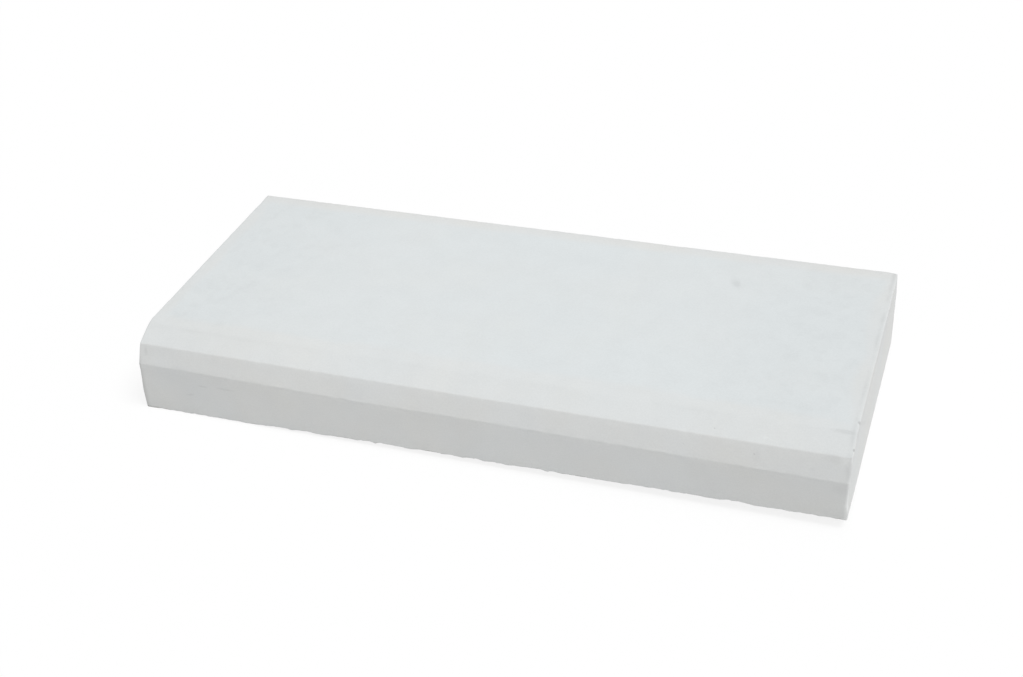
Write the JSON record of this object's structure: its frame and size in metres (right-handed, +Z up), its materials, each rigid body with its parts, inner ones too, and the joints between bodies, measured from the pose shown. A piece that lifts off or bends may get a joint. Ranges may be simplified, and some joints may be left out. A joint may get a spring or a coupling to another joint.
{
  "type": "concrete kerb",
  "caption": "Cast concrete kerb lying on its broad face: a plain flat block with slightly drafted sides and a two-step bevel along one long edge.",
  "frame": {"origin": "middle of the footprint, on the level the kerb lies on", "axes": "+X along the kerb, +Z up through the broad face that shows, -Y out of the bevelled long edge, +Y out of the plain long edge"},
  "size_m": [0.5, 0.21, 0.06],
  "materials": {
    "concrete": "fine moulded concrete, matt, faintly mottled, unpainted"
  },
  "bodies": {
    "root": {"kerb": "concrete"}
  },
  "joints": []
}
